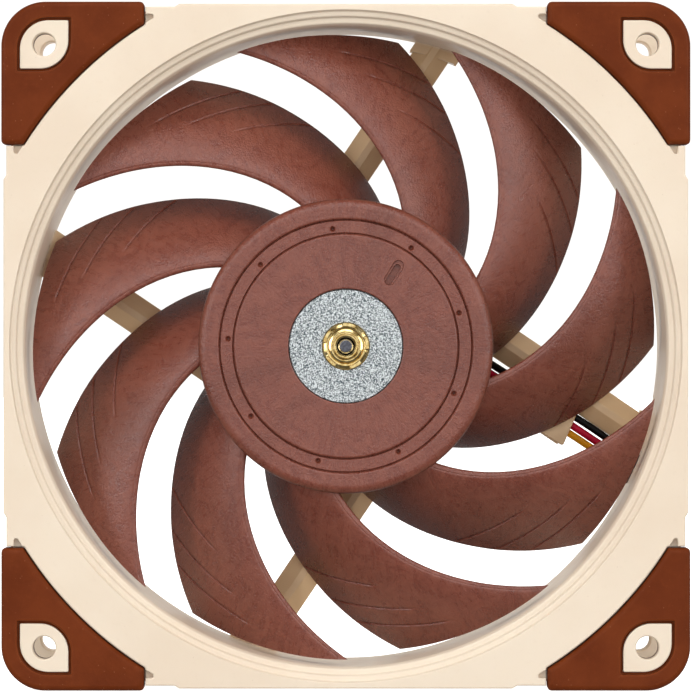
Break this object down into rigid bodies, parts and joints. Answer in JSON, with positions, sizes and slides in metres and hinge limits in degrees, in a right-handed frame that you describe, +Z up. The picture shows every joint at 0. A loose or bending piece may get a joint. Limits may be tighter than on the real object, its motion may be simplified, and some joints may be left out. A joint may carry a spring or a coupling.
{
  "type": "case fan",
  "caption": "Square axial case fan with a stepped inlet, swept blades, rubber corner pads, rear struts and a short sleeved lead with a connector",
  "frame": {"origin": "on the surface under the fan, below the middle of its width and depth, lead and connector left out", "axes": "+Z up, +X to the right seen from the front, +Y from the front (inlet) face to the back face; the rotor turns about Y"},
  "size_m": [0.12, 0.0563, 0.12],
  "materials": {
    "frame": "fine satin moulded plastic, beige",
    "pad": "matt silicone rubber, brown",
    "impeller": "moulded plastic with faint flow marks, reddish brown",
    "yoke_steel": "zinc plated sheet steel, speckled",
    "magnet": "rubber bonded ferrite",
    "brass": "turned brass",
    "shaft_steel": "ground steel",
    "sinter": "oil soaked sintered bronze",
    "white_plastic": "natural nylon",
    "laminate": "stacked silicon steel",
    "copper": "enamelled copper wire",
    "board": "green solder mask",
    "black_plastic": "moulded plastic",
    "ceramic": "ceramic",
    "label": "plain printed film without text",
    "wire_black": "PVC insulation",
    "wire_red": "PVC insulation",
    "wire_yellow": "PVC insulation",
    "soft_black": "soft moulded boot",
    "sleeve": "braided sleeve",
    "terminal": "tinned bronze"
  },
  "bodies": {
    "housing": {"frame": "frame", "front_pad_top_right": "pad", "back_pad_top_right": "pad", "front_pad_top_left": "pad", "back_pad_top_left": "pad", "front_pad_bottom_left": "pad", "back_pad_bottom_left": "pad", "front_pad_bottom_right": "pad", "back_pad_bottom_right": "pad", "bearing_shell": "brass", "bearing_sleeve": "sinter", "oil_seal": "white_plastic", "thrust_pad": "white_plastic", "stator_core": "laminate", "upper_insulator": "white_plastic", "lower_insulator": "white_plastic", "coil_1": "copper", "coil_2": "copper", "coil_3": "copper", "coil_4": "copper", "circuit_board": "board", "driver_chip": "black_plastic", "capacitor": "ceramic", "back_label": "label", "wire_black": "wire_black", "wire_red": "wire_red", "wire_yellow": "wire_yellow", "cable_boot": "soft_black", "cable_sleeve": "sleeve", "cable_hank": "sleeve", "cable_tie": "soft_black", "connector": "black_plastic", "crimp_terminal_1": "terminal", "crimp_terminal_2": "terminal", "crimp_terminal_3": "terminal"},
    "rotor": {"impeller": "impeller", "rotor_yoke": "yoke_steel", "magnet_ring": "magnet", "shaft_bushing": "brass", "shaft": "shaft_steel", "retaining_clip": "white_plastic"}
  },
  "joints": [
    {"name": "rotor_spin", "type": "hinge", "parent": "housing", "child": "rotor", "pos_m": [0, 0, 0.06], "axis": [0, -1, 0], "continuous": true}
  ]
}
